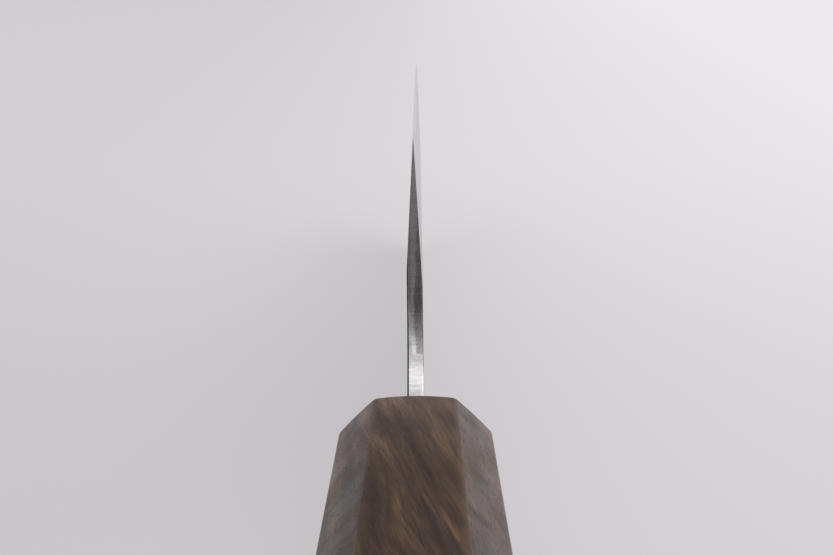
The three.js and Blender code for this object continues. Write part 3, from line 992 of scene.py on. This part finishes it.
def cut_slot(handle, settings):
    """Cuts the slot for the neck and the hidden tang, a little larger than the glue that fills it."""
    gap = settings.slot_gap
    low = GLUE_LOW - Vector((gap, gap, gap))
    high = GLUE_HIGH + Vector((gap, gap, gap))
    shoulder, tang_low, tang_high = sleeve_steps()
    mouth = add_block(
        "slot_mouth", Vector((shoulder - gap, low.y, low.z)), Vector((SLOT_REACH, high.y, high.z))
    )
    tang = add_block(
        "slot_tang", Vector((low.x, low.y, tang_low - gap)), Vector((0, high.y, tang_high + gap))
    )
    edit_selection(tang, "VERT", lambda vertex: vertex.co.x < low.x / 2)
    middle = (tang_low + tang_high) / 2
    bpy.ops.transform.resize(value=(1, 1, TANG_TAPER), center_override=(low.x, 0, middle))
    leave_edit()
    for cutter in (mouth, tang):
        apply_modifier(handle, "BOOLEAN", operation="DIFFERENCE", object=cutter, solver="EXACT")
        bpy.data.objects.remove(cutter)


def sleeve_steps():
    """Where the glue's sleeve narrows behind the neck, and the tang's lowest and highest point there."""
    shoulder = GLUE[GLUE[:, 2] > GLUE_HIGH.z - TOUCHING, 0].min()
    heights = GLUE[GLUE[:, 0] < shoulder + TOUCHING, 2]
    inside = (heights > GLUE_LOW.z + SLEEVE_MARGIN) & (heights < GLUE_HIGH.z - SLEEVE_MARGIN)
    return float(shoulder), float(heights[inside].min()), float(heights[inside].max())


def model_handle(settings):
    """Planes a block to a tapered octagon, crowns and eases it, cuts its slot and puts it in its place."""
    half = Vector((0, settings.front_width / 2, settings.front_height / 2))
    handle = add_block("handle_wood", Vector((-HANDLE_LENGTH, -half.y, -half.z)), half)
    bevel_edges(handle, runs_along, settings.corner_cut)
    edit_selection(handle, "VERT", lambda vertex: vertex.co.x < -HANDLE_LENGTH / 2)
    swell = (1, settings.taper, settings.taper)
    bpy.ops.transform.resize(value=swell, center_override=(-HANDLE_LENGTH, 0, 0))
    leave_edit()
    crown_facet(handle, settings, (0, 1), settings.crown)
    for side in (1, -1):
        crown_facet(handle, settings, (side, 1), settings.crown * math.sqrt(0.5) ** 3)
    bevel_edges(handle, is_arris, settings.arris, EASE_SEGMENTS)
    bevel_edges(handle, is_rim, settings.rim, EASE_SEGMENTS)
    cut_slot(handle, settings)
    only(handle)
    handle.matrix_world = KNIFE
    bpy.ops.object.transform_apply(location=True, rotation=True, scale=True)
    return handle


class KNIFE_OT_handle(bpy.types.Operator):
    """Models the octagonal handle and gives it its oiled wood"""

    bl_idname = "knife.handle"
    bl_label = "Handle"

    def execute(self, context):
        settings = context.scene.knife_handle
        handle = model_handle(settings)
        shade(handle, lambda edge: edge.calc_face_angle(math.pi) > HANDLE_CREASE)
        stand_in(handle, "handle", wood_material(settings))
        return {"FINISHED"}


class KNIFE_OT_glue(bpy.types.Operator):
    """Finishes the glue that shows round the neck, with a rounded lip"""

    bl_idname = "knife.glue"
    bl_label = "Tang glue"

    def execute(self, context):
        piece = copy_of("tang_glue", "glue_sleeve")
        forward = KNIFE.to_3x3() @ Vector((1, 0, 0))
        front = (KNIFE @ Vector((GLUE_HIGH.x, 0, 0))).dot(forward)

        def on_lip(edge):
            in_front = all(abs(vertex.co.dot(forward) - front) < TOUCHING for vertex in edge.verts)
            return in_front and edge.calc_face_angle() > LIP_ANGLE

        bevel_edges(piece, on_lip, LIP_WIDTH, LIP_SEGMENTS)
        shade(piece, lambda edge: edge.calc_face_angle(math.pi) > GLUE_CREASE)
        stand_in(piece, "tang_glue", glue_material())
        return {"FINISHED"}


# Stage

FLOOR_SIZE = 8.0
SOFTBOX_SIZE = 1.1
SOFTBOX_PLACE = (0.5, -0.9, 1.1)
AHEAD = Matrix(((0, 0, -1), (-1, 0, 0), (0, 1, 0)))  # axes of a camera that looks along the knife
SENSOR_WIDTH = 36.0
NEAREST = 10 * MM
FARTHEST = 100.0
BACKDROP_TOP = (0.03, 0.17)  # sines of the heights over which it fades
BACKDROP_SIDES = (-0.4, 0.4, 1.18, 0.66)  # sines to the right and the left, and its light there
DISTANCE_AHEAD = (0.94, 0.985)  # cosines from straight ahead over which reflections turn plain
DIM_AHEAD = (0.3, 0.6)  # how far ahead and to the left it turns dim
DIM_LEFT = (0.33, 0.47)
DIM_SHADE = 0.7
CEILING_AXIS = (-0.29, -0.12, 0.95)  # where the ceiling is brightest
CEILING_START = (0.35, 0.95)  # cosines from there over which it brightens
# Metres along and across the knife, and the floor's painted shades there: darker towards the handle and on
# the knife's left
FLOOR_SHADES = {"x": (-0.1, 0.25, 0.89, 1.03), "y": (-0.2, 0.14, 1.05, 0.81)}
FLOOR_MIDDLE = (0.4, 0.0, 0.0)
FLOOR_FAR = (0.55, 1.3)  # metres from there over which it turns plain
FLOOR_GLOW = 0.72  # share of its colour that it shows in any light
FLOOR_ROUGHNESS = 0.9
FLOOR_GLOSS = 0.1


def add_floor(settings):
    """A pale floor that glows a little, so that shadows stay faint, with painted shade darker towards the
    handle and on the left, and plain far away.
    """
    bpy.ops.object.select_all(action="DESELECT")
    bpy.ops.mesh.primitive_plane_add(size=FLOOR_SIZE)
    floor = bpy.context.active_object
    floor.name = "studio_floor"
    material = bpy.data.materials.new("Pale floor")
    material.use_nodes = True
    shader = material.node_tree.nodes["Principled BSDF"]
    shader.inputs["Roughness"].default_value = FLOOR_ROUGHNESS
    shader.inputs["Specular IOR Level"].default_value = FLOOR_GLOSS
    graph = Graph(material.node_tree)
    place = graph.add("ShaderNodeTexCoord").outputs["Object"]
    x, y, z = graph.split(place)
    # Painted shade: the floor's colour darkens towards the handle and on the knife's left
    tone = graph.times(graph.remap(x, *FLOOR_SHADES["x"]), graph.remap(y, *FLOOR_SHADES["y"]))
    far = graph.remap(graph.vector("LENGTH", graph.vector("SUBTRACT", place, FLOOR_MIDDLE)), *FLOOR_FAR)
    colour = graph.tint(rgba(settings.floor_colour), graph.blend(far, tone, 1.0))
    graph.feed(shader.inputs["Base Color"], colour)
    ray = graph.add("ShaderNodeLightPath").outputs
    seen = graph.largest(ray["Is Camera Ray"], ray["Is Glossy Ray"], ray["Is Transmission Ray"])
    glow = graph.add("ShaderNodeEmission", {"Color": colour})
    share = graph.times(seen, graph.blend(far, FLOOR_GLOW, 1.0))
    mixed = graph.add("ShaderNodeMixShader", {0: share})
    graph.feed(mixed.inputs[1], shader.outputs[0])
    graph.feed(mixed.inputs[2], glow.outputs[0])
    graph.feed(material.node_tree.nodes["Material Output"].inputs["Surface"], mixed.outputs[0])
    floor.data.materials.append(material)


def light_world(settings):
    """A pale band near the horizon, dim ahead on the left, then a dim room and a pale ceiling."""
    world = bpy.data.worlds.new("Studio")
    bpy.context.scene.world = world
    world.use_nodes = True
    graph = Graph(world.node_tree)
    direction = graph.add("ShaderNodeTexCoord").outputs["Generated"]
    x, y, height = graph.split(direction)
    dim = graph.times(graph.remap(x, *DIM_AHEAD), graph.remap(y, *DIM_LEFT))
    lit = graph.minus(1.0, graph.times(dim, DIM_SHADE))
    side = graph.times(graph.remap(y, *BACKDROP_SIDES, smooth=False), lit)
    backdrop = graph.tint(rgba(settings.backdrop_colour), side)
    colour = graph.mix(graph.remap(height, *BACKDROP_TOP), backdrop, rgba(settings.room_colour))
    ceiling = rgba((settings.ceiling_level,) * 3)
    overhead = graph.vector("DOT_PRODUCT", direction, Vector(CEILING_AXIS).normalized())
    colour = graph.mix(graph.remap(overhead, *CEILING_START), colour, ceiling)
    ray = graph.add("ShaderNodeLightPath").outputs
    mirrored = graph.largest(ray["Is Glossy Ray"], ray["Is Transmission Ray"])
    ahead = graph.times(graph.remap(x, *DISTANCE_AHEAD), graph.remap(height, *BACKDROP_TOP, 1, 0))
    seen = graph.largest(ray["Is Camera Ray"], graph.times(mirrored, ahead))
    colour = graph.mix(seen, colour, rgba(settings.floor_colour))
    graph.feed(world.node_tree.nodes["Background"].inputs["Color"], colour)


def add_softbox(settings):
    """A large soft light on the right, turned to the knife."""
    lamp = bpy.data.lights.new("Side softbox", "AREA")
    lamp.size = SOFTBOX_SIZE
    lamp.energy = settings.softbox_power
    softbox = bpy.data.objects.new("side_softbox", lamp)
    softbox.location = SOFTBOX_PLACE
    softbox.rotation_euler = (-Vector(SOFTBOX_PLACE)).to_track_quat("-Z", "Y").to_euler()
    bpy.context.scene.collection.objects.link(softbox)


def add_camera(settings):
    """Looks along the knife from behind the butt, over the handle at the heel of the blade."""
    yaw, pitch, roll = settings.camera_turn
    turn = Matrix.Rotation(yaw, 3, "Z") @ Matrix.Rotation(pitch, 3, "Y") @ Matrix.Rotation(-roll, 3, "X")
    lens = bpy.data.cameras.new("Photo lens")
    lens.lens = settings.lens
    lens.sensor_width = SENSOR_WIDTH
    lens.clip_start = NEAREST
    lens.clip_end = FARTHEST
    camera = bpy.data.objects.new("photo_camera", lens)
    pose = (turn @ AHEAD).to_4x4()
    pose.translation = Vector(settings.camera_place)
    camera.matrix_world = KNIFE @ pose
    bpy.context.scene.collection.objects.link(camera)
    bpy.context.scene.camera = camera


class KNIFE_OT_stage(bpy.types.Operator):
    """Sets up the pale floor, the softbox, the surroundings and the camera"""

    bl_idname = "knife.stage"
    bl_label = "Stage"

    def execute(self, context):
        settings = context.scene.knife_stage
        add_floor(settings)
        light_world(settings)
        add_softbox(settings)
        add_camera(settings)
        context.scene.view_settings.view_transform = "Standard"
        return {"FINISHED"}


# Add-on


class KNIFE_PT_panel(bpy.types.Panel):
    """Lists the knife's pieces and their settings"""

    bl_label = "Bunka knife"
    bl_idname = "KNIFE_PT_panel"
    bl_space_type = "VIEW_3D"
    bl_region_type = "UI"
    bl_category = "Knife"

    def draw(self, context):
        for operator in OPERATORS:
            self.layout.operator(operator.bl_idname)
        for name in SETTINGS:
            box = self.layout.box()
            settings = getattr(context.scene, name)
            for key in settings.__annotations__:
                box.prop(settings, key)


SETTINGS = {
    "knife_blade": KnifeBladeSettings,
    "knife_handle": KnifeHandleSettings,
    "knife_stage": KnifeStageSettings,
}
OPERATORS = (KNIFE_OT_core, KNIFE_OT_claddings, KNIFE_OT_handle, KNIFE_OT_glue, KNIFE_OT_stage)
CLASSES = (*SETTINGS.values(), *OPERATORS, KNIFE_PT_panel)


def register():
    for each in CLASSES:
        bpy.utils.register_class(each)
    for name, kind in SETTINGS.items():
        setattr(bpy.types.Scene, name, PointerProperty(type=kind))


def unregister():
    for name in SETTINGS:
        delattr(bpy.types.Scene, name)
    for each in reversed(CLASSES):
        bpy.utils.unregister_class(each)


def main():
    register()
    make_grinding_marks()
    make_handling_haze()
    make_ground_rim_and_shade()
    bpy.ops.knife.core()
    bpy.ops.knife.claddings()
    bpy.ops.knife.handle()
    bpy.ops.knife.glue()
    bpy.ops.knife.stage()


if __name__ == "__main__":
    main()
